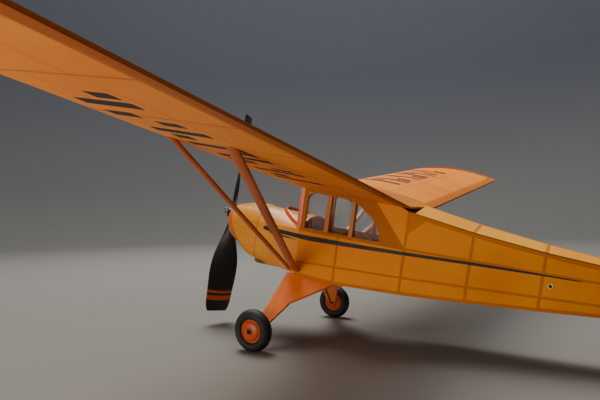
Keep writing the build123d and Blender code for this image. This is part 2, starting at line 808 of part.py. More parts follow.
with BuildPart() as rear_spar_left:
    add(chord_block(REAR_SPAR - 1.6, REAR_SPAR + 1.6, SKIN, 5.0, 0, TIP_START + 30))

with BuildPart() as tip_bow_left:
    add(inner_prism)
    add(cut_to_plan(SKIN, TIP_START - 1), mode=Mode.INTERSECT)
    add(cut_to_plan(5.0, TIP_START - 20), mode=Mode.SUBTRACT)
    add(chord_block(-1, CHORD + 1, -5, 20, TIP_START + 0.1, PANEL + 5), mode=Mode.INTERSECT)
    for strip in (leading_edge_left, trailing_edge_left, front_spar_left, rear_spar_left):
        add(strip.part, mode=Mode.SUBTRACT)

with BuildPart() as wing_ribs_left:
    for out in RIB_OUTS:
        extrude(wing_section(root_plane.offset(out), SKIN), amount=1.6)
    add(cut_to_plan(SKIN, -5.0), mode=Mode.INTERSECT)
    for strip in (leading_edge_left, trailing_edge_left, front_spar_left, rear_spar_left, tip_bow_left):
        add(strip.part, mode=Mode.SUBTRACT)
    for out in RIB_OUTS:
        for share in (0.16, 0.44):
            with BuildSketch(root_plane.offset(out - 1)):
                with Locations((share * CHORD, 0.052 * CHORD)):
                    Circle(0.021 * CHORD)
            extrude(amount=4, mode=Mode.SUBTRACT)
keep(wing_ribs_left, "wing_ribs_left")

with BuildPart() as wing_edges_left:
    for strip in (leading_edge_left, trailing_edge_left, tip_bow_left):
        add(strip.part)
keep(wing_edges_left, "wing_edges_left")

with BuildPart() as wing_spars_left:
    add(front_spar_left.part)
    add(rear_spar_left.part)
keep(wing_spars_left, "wing_spars_left")

wing_pieces = {
    "wing_covering": wing_covering_left,
    "wing_edges": wing_edges_left,
    "wing_spars": wing_spars_left,
    "wing_ribs": wing_ribs_left,
}
for name, piece in wing_pieces.items():
    with BuildPart() as starboard:
        mirror(piece.part, about=Plane.XZ)
    keep(starboard, f"{name}_right")

# ---- centre section over the cabin: port half, then its mirror image ----
centre_plane = Plane(origin=(WING_LE_X, 0, WING_ROOT_Z), x_dir=chord_dir, z_dir=(0, 1, 0))
ROOT_GAP = 0.1           # between the centre section and the covering of each wing panel
with BuildPart() as centre_section:
    with BuildSketch(centre_plane):
        add(wing_section(Plane.XY, 0.0))
    extrude(amount=WING_ROOT_Y + 2)
    with BuildSketch(centre_plane):
        with Locations((CHORD * 0.33, 4.0)):
            Rectangle(CHORD * 0.38, 4.4)
    extrude(amount=WING_ROOT_Y - 4, mode=Mode.SUBTRACT)
    with BuildSketch(root_plane.offset(-0.5 - ROOT_GAP)):
        Rectangle(3 * CHORD, CHORD)
    extrude(amount=CHORD / 2, mode=Mode.SUBTRACT)
    mirror(about=Plane.XZ)
keep(centre_section, "centre_section")

# ---- tail ----


def tailplane_outline(inset):
    """Fixed tailplane ahead of the hinge line."""
    back = HINGE_X + HINGE_GAP / 2 + inset
    front = TAILPLANE_LE_X - inset
    half = TAIL_HALF_SPAN - inset
    with BuildSketch(Plane.XY.offset(TAIL_Z)) as shape:
        with BuildLine():
            Line((back, -half), (back, half))
            Line((back, half), (back + 8, half))
            RadiusArc((back + 8, half), (front - 6, half - 34), 40)
            Line((front - 6, half - 34), (front, 0))
            Line((front, 0), (front - 6, 34 - half))
            RadiusArc((front - 6, 34 - half), (back + 8, -half), 40)
            Line((back + 8, -half), (back, -half))
        make_face()
    return shape.sketch


ELEVATOR_ROOT = 8.0      # inner end of each elevator half


def elevator_outline(inset, side):
    """One elevator half behind the hinge line, cut away towards the rudder."""
    front = HINGE_X - HINGE_GAP / 2 - inset
    back = HINGE_X - HINGE_GAP / 2 - ELEVATOR_CHORD + inset
    half = TAIL_HALF_SPAN - inset
    root = ELEVATOR_ROOT + inset
    with BuildSketch(Plane.XY.offset(TAIL_Z)) as shape:
        with BuildLine():
            Polyline(
                (front, side * root),
                (front, side * half),
                (front - 8, side * half),
                (back + 1.5, side * (half - 16)),
                (back, side * (half - 34)),
                (back, side * (root + 12)),
                close=True,
            )
        make_face()
    return shape.sketch


half_thick = TAIL_THICK / 2
with BuildPart() as tailplane_frame:
    extrude(tailplane_outline(0.0), amount=half_thick, both=True)
    extrude(tailplane_outline(5.0), amount=half_thick, both=True, mode=Mode.SUBTRACT)
    for y in (-96, -64, -32, 0, 32, 64, 96):
        wide = 2.0 if y else 2 * TAIL_POST_W + 4
        reach = TAIL_CHORD - 12 - 0.12 * abs(y)
        with Locations((HINGE_X + HINGE_GAP / 2 + 4 + reach / 2, y, TAIL_Z)):
            Box(reach, wide, TAIL_THICK)
keep(tailplane_frame, "tailplane_frame")

with BuildPart() as tailplane_covering:
    for level in (half_thick, -half_thick - SKIN):
        extrude(tailplane_outline(0.0).moved(Location((0, 0, level))), amount=SKIN)
keep(tailplane_covering, "tailplane_covering")

with BuildPart() as elevator_frame:
    for side in (-1, 1):
        extrude(elevator_outline(0.0, side), amount=half_thick, both=True)
        extrude(elevator_outline(3.6, side), amount=half_thick, both=True, mode=Mode.SUBTRACT)
        for y in (32, 64, 96):
            with Locations((HINGE_X - HINGE_GAP / 2 - ELEVATOR_CHORD / 2, side * y, TAIL_Z)):
                Box(ELEVATOR_CHORD - 5, 2.0, TAIL_THICK)
    with Locations(Plane(origin=(HINGE_X - HINGE_GAP / 2 - 2.0, 0, TAIL_Z), z_dir=(0, 1, 0))):
        Cylinder(0.8, 2 * ELEVATOR_ROOT)
keep(elevator_frame, "elevator_frame")

with BuildPart() as elevator_covering:
    for side in (-1, 1):
        for level in (half_thick, -half_thick - SKIN):
            extrude(elevator_outline(0.0, side).moved(Location((0, 0, level))), amount=SKIN)
keep(elevator_covering, "elevator_covering")

FIN_BASE = TAIL_Z + half_thick + SKIN
FIN_TOP = FIN_BASE + FIN_HEIGHT
RUDDER_BASE = FIN_BASE + 4.0


def fin_outline(inset):
    """Fixed fin ahead of the hinge line, in side elevation."""
    back = HINGE_X + HINGE_GAP / 2 + inset
    with BuildSketch(Plane.XZ) as shape:
        with BuildLine():
            Line((back, FIN_BASE + inset), (back, FIN_TOP - inset))
            Spline(
                (back, FIN_TOP - inset),
                (back + 14 - inset, FIN_TOP - 16),
                (TAILPLANE_LE_X - 12 - inset * 1.4, FIN_BASE + 20),
                (TAILPLANE_LE_X - 1.5 * inset, FIN_BASE + inset),
            )
            Line((TAILPLANE_LE_X - 1.5 * inset, FIN_BASE + inset), (back, FIN_BASE + inset))
        make_face()
    return shape.sketch


def rudder_outline(inset):
    """Rudder behind the hinge line, its foot sloping up clear of the elevators."""
    front = HINGE_X - HINGE_GAP / 2 - inset
    back = front - RUDDER_CHORD + inset
    with BuildSketch(Plane.XZ) as shape:
        with BuildLine():
            Line((front, RUDDER_BASE + inset), (front, FIN_TOP - inset))
            Spline(
                (front, FIN_TOP - inset),
                (front - 20, FIN_TOP - 5 - inset),
                (back, FIN_TOP - 32),
                (back + 8, RUDDER_BASE + 17),
            )
            Line((back + 8, RUDDER_BASE + 17), (front, RUDDER_BASE + inset))
        make_face()
    return shape.sketch


def fin_rib(x_front, x_back, z):
    """Horizontal rib of the fin or rudder."""
    with Locations(((x_front + x_back) / 2, 0, z)):
        Box(abs(x_front - x_back), TAIL_THICK - 0.6, 2.0)


fin_half = (TAIL_THICK - 0.6) / 2
with BuildPart() as fin_frame:
    extrude(fin_outline(0.0), amount=fin_half, both=True)
    extrude(fin_outline(4.0), amount=fin_half, both=True, mode=Mode.SUBTRACT)
    fin_rib(HINGE_X + 3, TAILPLANE_LE_X - 24, FIN_BASE + 22)
    fin_rib(HINGE_X + 3, TAILPLANE_LE_X - 36, FIN_BASE + 44)
    extrude(fin_outline(0.0), amount=fin_half, both=True, mode=Mode.INTERSECT)
keep(fin_frame, "fin_frame")

with BuildPart() as fin_covering:
    for level in (-fin_half - SKIN, fin_half):
        extrude(fin_outline(0.0).moved(Location((0, level + SKIN, 0))), amount=SKIN)
keep(fin_covering, "fin_covering")

with BuildPart() as rudder_frame:
    extrude(rudder_outline(0.0), amount=fin_half, both=True)
    extrude(rudder_outline(3.4), amount=fin_half, both=True, mode=Mode.SUBTRACT)
    fin_rib(HINGE_X - 2, HINGE_X - RUDDER_CHORD, FIN_BASE + 30)
    fin_rib(HINGE_X - 2, HINGE_X - RUDDER_CHORD, FIN_BASE + 50)
    extrude(rudder_outline(0.0), amount=fin_half, both=True, mode=Mode.INTERSECT)
keep(rudder_frame, "rudder_frame")

with BuildPart() as rudder_covering:
    for level in (-fin_half - SKIN, fin_half):
        extrude(rudder_outline(0.0).moved(Location((0, level + SKIN, 0))), amount=SKIN)
keep(rudder_covering, "rudder_covering")

# ---- tail wheel and its wire ----
TAIL_WIRE_R = 0.6
TAIL_WIRE_Y = 4.0
wire_front = Vector(TAIL_WHEEL_X + 34, TAIL_WIRE_Y, bottom_z(TAIL_WHEEL_X + 34) - 1.6)
wire_bend = Vector(TAIL_WHEEL_X + 14, TAIL_WIRE_Y, bottom_z(TAIL_WHEEL_X + 14) - 1.6)
with BuildPart() as tail_wheel_wire:
    with BuildLine():
        FilletPolyline(
            wire_front,
            wire_bend,
            (TAIL_WHEEL_X, TAIL_WIRE_Y, TAIL_WHEEL_Z),
            (TAIL_WHEEL_X, 0.4 - TAIL_WIRE_Y, TAIL_WHEEL_Z),
            radius=1.8,
        )
    with BuildSketch(Plane(origin=wire_front, z_dir=wire_bend - wire_front)):
        Circle(TAIL_WIRE_R)
    sweep()
keep(tail_wheel_wire, "tail_wheel_wire")

with BuildPart() as tail_wheel:
    with BuildSketch(Plane(origin=(TAIL_WHEEL_X, -2.0, TAIL_WHEEL_Z), x_dir=(1, 0, 0), z_dir=(0, 1, 0))):
        Circle(TAIL_WHEEL_R)
        Circle(TAIL_WIRE_R + BORE_CLEARANCE, mode=Mode.SUBTRACT)
    extrude(amount=4.0)
    fillet(tail_wheel.edges().filter_by(GeomType.CIRCLE).sort_by(SortBy.RADIUS)[-2:], 1.4)
keep(tail_wheel, "tail_wheel")

# ---- nose block, its bearing and the propeller ----
BEARING_R = 2.0
with BuildPart() as nose_block:
    with BuildSketch(raked(0)):
        Circle(NOSE_R)
    extrude(amount=-NOSE_THICK)
    fillet(nose_block.faces().sort_by(Axis.X)[-1].edges(), 4.0)
    with BuildSketch(Plane.YZ.offset(-13.0)):
        with Locations((0, PLUG_Z)):
            Circle(PLUG_R)
    extrude(amount=-PLUG_LENGTH - 5)
    with BuildSketch(Plane.YZ.offset(-CUT)):
        Circle(BEARING_R)
    extrude(amount=CUT, mode=Mode.SUBTRACT)
    with BuildSketch(Plane.YZ.offset(-7.0)):
        Circle(4.0)
    extrude(amount=8, mode=Mode.SUBTRACT)
keep(nose_block, "nose_block")

with BuildPart() as thrust_bearing:
    with BuildSketch(Plane.YZ.offset(-28.0)):
        Circle(BEARING_R)
    extrude(amount=20.5)
    with BuildSketch(Plane.YZ.offset(-7.0)):
        Circle(3.6)
    extrude(amount=0.8)
    with BuildSketch(Plane.YZ.offset(-7.6)):
        Circle(BEARING_R)
    extrude(amount=1.0)
    with BuildSketch(Plane.YZ.offset(-CUT)):
        Circle(SHAFT_R + BORE_CLEARANCE)
    extrude(amount=CUT, mode=Mode.SUBTRACT)
keep(thrust_bearing, "thrust_bearing")


def blade_section(out, chord, thick):
    """Section of the upper blade, pitched for its distance from the hub."""
    pitch = atan2(PROP_PITCH, 2 * pi * out)
    plane = Plane(origin=(0, 0, out), x_dir=(sin(pitch), -cos(pitch), 0), z_dir=(0, 0, 1))
    with BuildSketch(plane) as section:
        with BuildLine():
            ThreePointArc((-chord / 2, 0), (0, thick / 2), (chord / 2, 0))
            ThreePointArc((chord / 2, 0), (0, -thick / 2), (-chord / 2, 0))
        make_face()
    return section.sketch


# Distance out from the hub, chord and thickness of each blade section.
BLADE = (
    (3.0, 6.0, 4.2),
    (20.0, 11.0, 3.2),
    (36.0, 20.0, 2.6),
    (52.0, 28.0, 2.2),
    (72.0, 31.0, 1.8),
    (92.0, 30.0, 1.5),
    (105.0, 27.5, 1.3),
    (109.9, 23.0, 1.1),
)
with BuildPart() as blade:
    loft([blade_section(*row) for row in BLADE])

with BuildPart() as propeller:
    with BuildSketch(Plane.YZ.offset(-4.0)):
        Circle(5.2)
    extrude(amount=8.0)
    add(blade.part)
    add(blade.part.rotate(Axis.X, 180))
    with BuildSketch(Plane.YZ.offset(-10)):
        Circle(SHAFT_R)
    extrude(amount=20, mode=Mode.SUBTRACT)
propeller.part = propeller.part.rotate(Axis.X, PROP_REST_ANGLE)
keep(propeller, "propeller")

SHAFT_END_X = HOOK_X + HOOK_R - 0.6
with BuildPart() as prop_shaft:
    with BuildLine():
        FilletPolyline(
            (SHAFT_END_X, 0, 0),
            (12.0, 0, 0),
            (12.0, 0, 4.0),
            (8.0, 0, 4.0),
            radius=1.5,
        )
    with BuildSketch(Plane.YZ.offset(SHAFT_END_X)):
        Circle(SHAFT_R)
    sweep()
    with BuildSketch(Plane.XZ.offset(-SHAFT_R)):
        with Locations((HOOK_X, HOOK_Z)):
            Circle(HOOK_R + SHAFT_R)
            Circle(HOOK_R - SHAFT_R, mode=Mode.SUBTRACT)
        with Locations((HOOK_X + 2.5, HOOK_Z - 5)):
            Rectangle(5.0, 5.0, mode=Mode.SUBTRACT)
    extrude(amount=2 * SHAFT_R)
keep(prop_shaft, "prop_shaft")

with BuildPart() as thrust_washers:
    for x in (-6.1, -4.9):
        with BuildSketch(Plane.YZ.offset(x)):
            Circle(2.8)
            Circle(SHAFT_R, mode=Mode.SUBTRACT)
        extrude(amount=0.8)
keep(thrust_washers, "thrust_washers")
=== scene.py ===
"""Looks of a rubber-powered stick-and-tissue cabin monoplane standing on its wheels.

Lengths are millimetres in the aircraft's own datum frame unless a name ends in _M: X forwards along
the thrust line, Y to port, Z up, with the origin at the middle of the propeller hub. at() turns a
datum point into the frame's metres.
"""
import json
from math import atan2, cos, pi, radians, sin, sqrt

import bpy
from mathutils import Matrix, Vector


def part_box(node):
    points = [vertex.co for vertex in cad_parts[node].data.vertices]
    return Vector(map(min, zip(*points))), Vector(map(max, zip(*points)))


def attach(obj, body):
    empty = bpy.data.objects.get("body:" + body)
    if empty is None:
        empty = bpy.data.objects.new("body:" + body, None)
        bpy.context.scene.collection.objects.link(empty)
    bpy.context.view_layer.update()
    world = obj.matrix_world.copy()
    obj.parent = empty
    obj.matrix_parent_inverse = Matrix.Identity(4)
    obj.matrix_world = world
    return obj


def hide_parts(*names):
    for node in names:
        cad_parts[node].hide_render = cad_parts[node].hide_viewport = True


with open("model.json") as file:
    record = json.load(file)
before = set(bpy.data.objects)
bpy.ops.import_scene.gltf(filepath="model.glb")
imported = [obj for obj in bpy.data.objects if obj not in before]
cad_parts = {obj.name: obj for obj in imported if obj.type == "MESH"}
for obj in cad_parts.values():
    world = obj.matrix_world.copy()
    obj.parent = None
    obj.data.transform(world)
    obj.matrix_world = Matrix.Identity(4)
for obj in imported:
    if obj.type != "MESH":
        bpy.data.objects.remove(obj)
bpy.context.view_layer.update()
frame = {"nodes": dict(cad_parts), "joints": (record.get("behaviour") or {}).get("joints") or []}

# ---- datum frame, from the propeller's joint ----
spin = next(joint for joint in frame["joints"] if joint["name"] == "propeller_spin")
HUB_M = Vector(spin["pos_m"])
FORWARD = Vector(spin["axis"])
PORT = Vector((0.0, 1.0, 0.0))
UPWARD = FORWARD.cross(PORT)
STANCE = atan2(FORWARD.z, FORWARD.x)
MM = 0.001


def at(x, y, z):
    """Frame position in metres of a datum point."""
    return HUB_M + (FORWARD * x + PORT * y + UPWARD * z) * MM


# ---- driving dimensions ----
CHORD = 114.3
SPAN = 762.0
INCIDENCE = radians(2.7)
DIHEDRAL = radians(8.0)
WING_LE = (-95.9, 36.0, 41.6)
RIB_PITCH = 53.5 / cos(DIHEDRAL)
PANEL = (SPAN / 2 - WING_LE[1]) / cos(DIHEDRAL)
TIP_START = PANEL - 62.0
TIP_END = PANEL - 1.4
NOSE_Z = 1.6                # height of the leading edge's nose over the flat bottom
TRAILING = 1.6              # thickness of the trailing edge
LE_STRIP = 4.5
TE_STRIP = 9.5
SPARS = (0.28, 0.6)
CABIN_HALF = 30.0
CABIN_X = -107.0
TAPER_X = -208.5
TAIL_POST_X = -440.0
TAIL_POST_HALF = 5.0
COWL_SEAM_X = -54.0
COWL_SEAM_HALF = 26.2
STATIONS = (-147.0, -208.5, -260.0, -311.0, -355.0, -400.0)
TAILPLANE_LE_X = -391.9
TOP_Z = 33.0                # top longeron at the taper
BOTTOM_Z = -42.0            # bottom longeron under the cabin
FIN_BASE = 17.35


def linear(red, green, blue):
    """Scene colour of an sRGB triple given from 0 to 255."""
    channels = []
    for value in (red, green, blue):
        share = value / 255
        channels.append(share / 12.92 if share <= 0.04045 else ((share + 0.055) / 1.055) ** 2.4)
    return (*channels, 1.0)


def half_width(x):
    """Half width of the fuselage over its coverings."""
    if x >= CABIN_X:
        return COWL_SEAM_HALF + (CABIN_HALF - COWL_SEAM_HALF) * (COWL_SEAM_X - x) / (COWL_SEAM_X - CABIN_X)
    if x >= TAPER_X:
        return CABIN_HALF
    share = (TAPER_X - x) / (TAPER_X - TAIL_POST_X)
    return CABIN_HALF + (TAIL_POST_HALF - CABIN_HALF) * share


# ---- materials ----
class Finish:
    """A procedural material under construction, with helpers for sums, bands and noise."""

    def __init__(self, name, roughness, specular=0.5, coat=0.0):
        self.material = bpy.data.materials.new(name)
        self.material.use_nodes = True
        self.tree = self.material.node_tree
        self.shader = self.tree.nodes["Principled BSDF"]
        self.shader.inputs["Roughness"].default_value = roughness
        self.shader.inputs["Specular IOR Level"].default_value = specular
        self.shader.inputs["Coat Weight"].default_value = coat
        coords = self.tree.nodes.new("ShaderNodeTexCoord")
        turn = self.tree.nodes.new("ShaderNodeMapping")
        turn.inputs["Scale"].default_value = (1 / MM, 1 / MM, 1 / MM)
        turn.inputs["Rotation"].default_value = (0.0, STANCE, 0.0)
        turn.inputs["Location"].default_value = (Matrix.Rotation(STANCE, 3, "Y") @ HUB_M) / -MM
        self.tree.links.new(coords.outputs["Object"], turn.inputs["Vector"])
        self.place = turn.outputs["Vector"]
        split = self.tree.nodes.new("ShaderNodeSeparateXYZ")
        self.tree.links.new(self.place, split.inputs[0])
        self.x, self.y, self.z = split.outputs

    def put(self, value, socket):
        """Set a socket to a number or link another socket to it."""
        if isinstance(value, bpy.types.NodeSocket):
            self.tree.links.new(value, socket)
        else:
            socket.default_value = value

    def math(self, operation, a, b=0.0, c=0.0, clamp=False):
        node = self.tree.nodes.new("ShaderNodeMath")
        node.operation = operation
        node.use_clamp = clamp
        for value, socket in zip((a, b, c), node.inputs):
            self.put(value, socket)
        return node.outputs[0]

    def ramp(self, value, low, high, first=0.0, last=1.0):
        """Smooth step between two values."""
        node = self.tree.nodes.new("ShaderNodeMapRange")
        node.interpolation_type = "SMOOTHSTEP"
        for item, socket in zip((value, low, high, first, last), node.inputs):
            self.put(item, socket)
        return node.outputs[0]

    def band(self, value, middle, half, soft):
        """One within half of the middle, falling to nought over the soft width."""
        off = self.math("ABSOLUTE", self.math("SUBTRACT", value, middle))
        return self.ramp(off, half, half + soft, 1.0, 0.0)

    def most(self, values):
        """Largest of several masks."""
        result = values[0]
        for value in values[1:]:
            result = self.math("MAXIMUM", result, value)
        return result

    def noise(self, scale, detail, roughness=0.5):
        """Noise from -0.5 to 0.5, its three scales given per millimetre."""
        stretch = self.tree.nodes.new("ShaderNodeMapping")
        stretch.inputs["Scale"].default_value = scale
        self.tree.links.new(self.place, stretch.inputs["Vector"])
        node = self.tree.nodes.new("ShaderNodeTexNoise")
        node.inputs["Scale"].default_value = 1.0
        node.inputs["Detail"].default_value = detail
        node.inputs["Roughness"].default_value = roughness
        self.tree.links.new(stretch.outputs[0], node.inputs["Vector"])
        return self.math("SUBTRACT", node.outputs[0], 0.5)

    def attribute(self, name):
        node = self.tree.nodes.new("ShaderNodeAttribute")
        node.attribute_name = name
        return node.outputs["Fac"]

    def mix(self, factor, first, second):
        node = self.tree.nodes.new("ShaderNodeMix")
        node.data_type = "RGBA"
        self.put(factor, node.inputs[0])
        self.put(first, node.inputs[6])
        self.put(second, node.inputs[7])
        return node.outputs[2]

    def colour(self, value):
        self.put(value, self.shader.inputs["Base Color"])

    def bump(self, height, distance_m, strength):
        node = self.tree.nodes.new("ShaderNodeBump")
        node.inputs["Strength"].default_value = strength
        node.inputs["Distance"].default_value = distance_m
        self.tree.links.new(height, node.inputs["Height"])
        self.tree.links.new(node.outputs[0], self.shader.inputs["Normal"])


def tissue(name, light, deep, wood, sticks_and_shadows=None, stick_shade=0.6):
    """Doped tissue over a balsa frame: mottled, fibrous, darker where it is stuck to a stick, partly the
    stick seen through the tissue and partly painted shade of the stick's shadow in light coming through
    the tissue.
    """
    finish = Finish(name, roughness=0.55, specular=0.15)
    cloud = finish.noise((0.022, 0.022, 0.03), detail=4.0)
    fibre = finish.noise((0.09, 0.9, 0.9), detail=4.0, roughness=0.7)
    speck = finish.noise((0.7, 0.7, 0.7), detail=2.0)
    tone = finish.math("MULTIPLY_ADD", cloud, 1.5, 0.45)
    tone = finish.math("MULTIPLY_ADD", fibre, 0.5, tone)
    tone = finish.math("MULTIPLY_ADD", speck, 0.25, tone, clamp=True)
    base = finish.mix(tone, linear(*light), linear(*deep))
    mask = finish.attribute("sticks_and_shadows")
    if sticks_and_shadows:
        mask = finish.most([mask, *sticks_and_shadows(finish)])
    # The darker tone over a stick is partly the stick seen through the tissue and partly painted shade of
    # the stick's shadow in light coming through it.
    shade = finish.math("MULTIPLY", mask, stick_shade)
    finish.colour(finish.mix(shade, base, linear(*wood)))
    relief = finish.math("MULTIPLY_ADD", fibre, 0.25, mask)
    relief = finish.math("MULTIPLY_ADD", cloud, 0.6, relief)
    finish.bump(relief, 0.0004, 0.7)
    return finish.material


GUSSET_LINE = -195.0        # x + z along the gusset at the top of the first upright
SHEET_SLOPE = -0.835        # of the front edge of the sheet behind the last window
SHEET_LINE = -210.05


def side_frame_and_shade(finish):
    """Uprights, longerons and stringers behind the fuselage side tissue."""
    masks = [finish.band(finish.x, x, 0.7, 0.9) for x in STATIONS]
    for front_z, back_z in ((1.8, 4.2), (-22.3, -6.0)):
        slope = (front_z - back_z) / (TAPER_X - TAIL_POST_X)
        run = finish.math("MULTIPLY_ADD", finish.x, slope, front_z - slope * TAPER_X)
        masks.append(finish.band(finish.math("SUBTRACT", finish.z, run), 0.0, 0.5, 0.8))
    top_run = TAPER_X - TAILPLANE_LE_X
    top = finish.math("DIVIDE", finish.math("SUBTRACT", TAPER_X, finish.x), top_run, clamp=True)
    top = finish.math("MULTIPLY", top, finish.math("MULTIPLY_ADD", top, 16.3, -36.0))
    top = finish.math("ADD", top, TOP_Z)
    low_run = STATIONS[0] - TAIL_POST_X
    low = finish.math("DIVIDE", finish.math("SUBTRACT", STATIONS[0], finish.x), low_run, clamp=True)
    low = finish.math("MULTIPLY", low, finish.math("MULTIPLY_ADD", low, 10.0, 24.0))
    low = finish.math("ADD", low, BOTTOM_Z)
    rear = finish.ramp(finish.x, TAPER_X + 2.0, TAPER_X, 0.0, 1.0)
    edge = finish.band(finish.math("SUBTRACT", finish.z, top), 0.0, 2.4, 1.0)
    masks.append(finish.math("MULTIPLY", edge, rear))
    masks.append(finish.band(finish.math("SUBTRACT", finish.z, low), 0.0, 2.0, 1.0))
    gusset = finish.math("ADD", finish.x, finish.z)
    corner = finish.ramp(gusset, GUSSET_LINE - 0.6, GUSSET_LINE + 0.6, 0.0, 0.8)
    behind_taper = finish.ramp(finish.x, TAPER_X - 1.0, TAPER_X, 1.0, 0.0)
    masks.append(finish.math("MULTIPLY", corner, behind_taper))
    diagonal = finish.math("MULTIPLY_ADD", finish.z, SHEET_SLOPE, finish.x)
    sheet = finish.ramp(diagonal, SHEET_LINE - 0.5, SHEET_LINE + 0.5)
    sheet = finish.math("MULTIPLY", sheet, finish.ramp(finish.z, 0.4, 1.2))
    masks.append(finish.math("MULTIPLY", sheet, 1.35))
    return masks


TAIL_RIB_PITCH = 32.0
TAIL_TIP_Y = 130.0


def tail_frame_and_shade(finish):
    """Ribs, hinge posts and edges of the tailplane and elevators."""
    across = finish.math("ABSOLUTE", finish.y)
    masks = [finish.band(across, TAIL_RIB_PITCH * rib, 0.9, 0.7) for rib in range(4)]
    for x, half in ((-439.0, 2.4), (-446.0, 2.2), (-468.5, 1.8)):
        masks.append(finish.band(finish.x, x, half, 0.8))
    masks.append(finish.band(across, TAIL_TIP_Y, 2.6, 0.8))
    return masks


def fin_frame_and_shade(finish):
    """Ribs and posts of the fin and rudder."""
    masks = [finish.band(finish.z, FIN_BASE + rise, 0.9, 0.7) for rise in (22.0, 44.0, 30.0, 50.0)]
    masks += [finish.band(finish.x, x, 2.0, 0.8) for x in (-440.0, -445.0)]
    return masks


def deck_frame_and_shade(finish):
    """Ridge and formers under the turtle deck."""
    masks = [finish.band(finish.x, x, 0.8, 0.8) for x in STATIONS[2:]]
    masks.append(finish.band(finish.y, 0.0, 0.8, 0.8))
    return masks


def wood(name, light, deep, grain, roughness=0.5, coat=0.0, streak=1.6):
    """Stained balsa or hardwood: long grain, pores and a little wear."""
    finish = Finish(name, roughness=roughness, specular=0.35, coat=coat)
    lines = finish.noise(grain, detail=5.0, roughness=0.65)
    cloud = finish.noise((0.03, 0.03, 0.03), detail=3.0)
    pores = finish.noise(tuple(3.2 * scale for scale in grain), detail=2.0)
    tone = finish.math("MULTIPLY_ADD", lines, streak, 0.45)
    tone = finish.math("MULTIPLY_ADD", cloud, 0.8, tone)
    tone = finish.math("MULTIPLY_ADD", pores, 0.35, tone, clamp=True)
    finish.colour(finish.mix(tone, linear(*light), linear(*deep)))
    finish.bump(finish.math("ADD", lines, pores), 0.00018, 0.6)
    return finish.material


MOTTLE = 0.25               # cells of a moulded finish's mottling per millimetre


def moulded(name, light, deep, roughness, bump_m=0.00008, metallic=0.0):
    """Plain moulded or drawn stuff: faint mottling and a fine surface."""
    finish = Finish(name, roughness=roughness)
    finish.shader.inputs["Metallic"].default_value = metallic
    cloud = finish.noise((MOTTLE, MOTTLE, MOTTLE), detail=4.0)
    fine = finish.noise((MOTTLE * 8, MOTTLE * 8, MOTTLE * 8), detail=2.0)
    tone = finish.math("MULTIPLY_ADD", cloud, 1.4, 0.5)
    tone = finish.math("MULTIPLY_ADD", fine, 0.6, tone, clamp=True)
    finish.colour(finish.mix(tone, linear(*light), linear(*deep)))
    worn = finish.math("MULTIPLY_ADD", cloud, 0.3, roughness, clamp=True)
    finish.put(worn, finish.shader.inputs["Roughness"])
    finish.bump(fine, bump_m, 0.6)
    return finish.material


COWL_LOW_SEAM_Z = -27.0


def painted_nose():
    """Orange-yellow painted sheet of the cowl and front fuselage: joint lines, and darker brown low down
    at the front of the chin scoop.
    """
    finish = Finish("painted_sheet", roughness=0.42, specular=0.3, coat=0.12)
    cloud = finish.noise((0.03, 0.03, 0.03), detail=4.0)
    grain = finish.noise((0.03, 0.5, 0.5), detail=4.0, roughness=0.6)
    tone = finish.math("MULTIPLY_ADD", cloud, 1.3, 0.4)
    tone = finish.math("MULTIPLY_ADD", grain, 0.7, tone, clamp=True)
    base = finish.mix(tone, linear(238, 160, 48), linear(216, 126, 22))
    upright_seam = finish.band(finish.x, COWL_SEAM_X, 0.25, 0.45)
    low_seam = finish.band(finish.z, COWL_LOW_SEAM_Z, 0.2, 0.5)
    on_cowl = finish.ramp(finish.x, COWL_SEAM_X, COWL_SEAM_X + 1.0, 0.0, 0.5)
    mask = finish.most([upright_seam, finish.math("MULTIPLY", low_seam, on_cowl)])
    base = finish.mix(finish.math("MULTIPLY", mask, 0.55), base, linear(120, 55, 10))
    scoop = finish.ramp(finish.x, COWL_SEAM_X - 12.0, COWL_SEAM_X - 2.0)
    scoop_front = finish.math("MULTIPLY", scoop, finish.ramp(finish.z, -38.6, -40.2))
    scoop_front = finish.math("MULTIPLY", scoop_front, finish.ramp(finish.x, COWL_SEAM_X + 6.5, COWL_SEAM_X + 6.0))
    finish.colour(finish.mix(finish.math("MULTIPLY", scoop_front, 0.8), base, linear(70, 26, 6)))
    finish.bump(finish.math("SUBTRACT", finish.math("MULTIPLY", grain, 0.4), mask), 0.0003, 0.6)
    return finish.material


def bladed():
    """Black nylon propeller with two orange bands near each tip."""
    finish = Finish("propeller_black", roughness=0.42, specular=0.4)
    height_squared = finish.math("MULTIPLY", finish.z, finish.z)
    reach_squared = finish.math("MULTIPLY_ADD", finish.y, finish.y, height_squared)
    reach = finish.math("POWER", reach_squared, 0.5)
    bands = finish.most([finish.band(reach, 89.0, 1.3, 0.3), finish.band(reach, 95.6, 2.4, 0.3)])
    fine = finish.noise((0.5, 0.5, 0.5), detail=3.0)
    black = finish.mix(finish.math("ADD", fine, 0.5), linear(20, 18, 18), linear(34, 31, 29))
    finish.colour(finish.mix(bands, black, linear(176, 72, 20)))
    finish.bump(fine, 0.00008, 0.5)
    return finish.material


def clear(name):
    """Thin clear acetate with faint streaky painted reflections in its grey and its opacity."""
    finish = Finish(name, roughness=0.06, specular=0.6)
    # Faint streaky painted reflection, varying the grey and the opacity.
    painted_reflection = finish.noise((0.05, 0.25, 0.02), detail=3.0)
    tone = finish.math("MULTIPLY_ADD", painted_reflection, 1.2, 0.5, clamp=True)
    finish.colour(finish.mix(tone, linear(150, 152, 156), linear(110, 112, 116)))
    finish.put(finish.math("MULTIPLY_ADD", tone, 0.05, 0.03), finish.shader.inputs["Alpha"])
    return finish.material


# Light tone, deep tone and the tone over a stick of each tissue; the tone over a stick is partly painted
# shade.
GOLD = ((252, 178, 62), (240, 152, 34), (160, 84, 16))
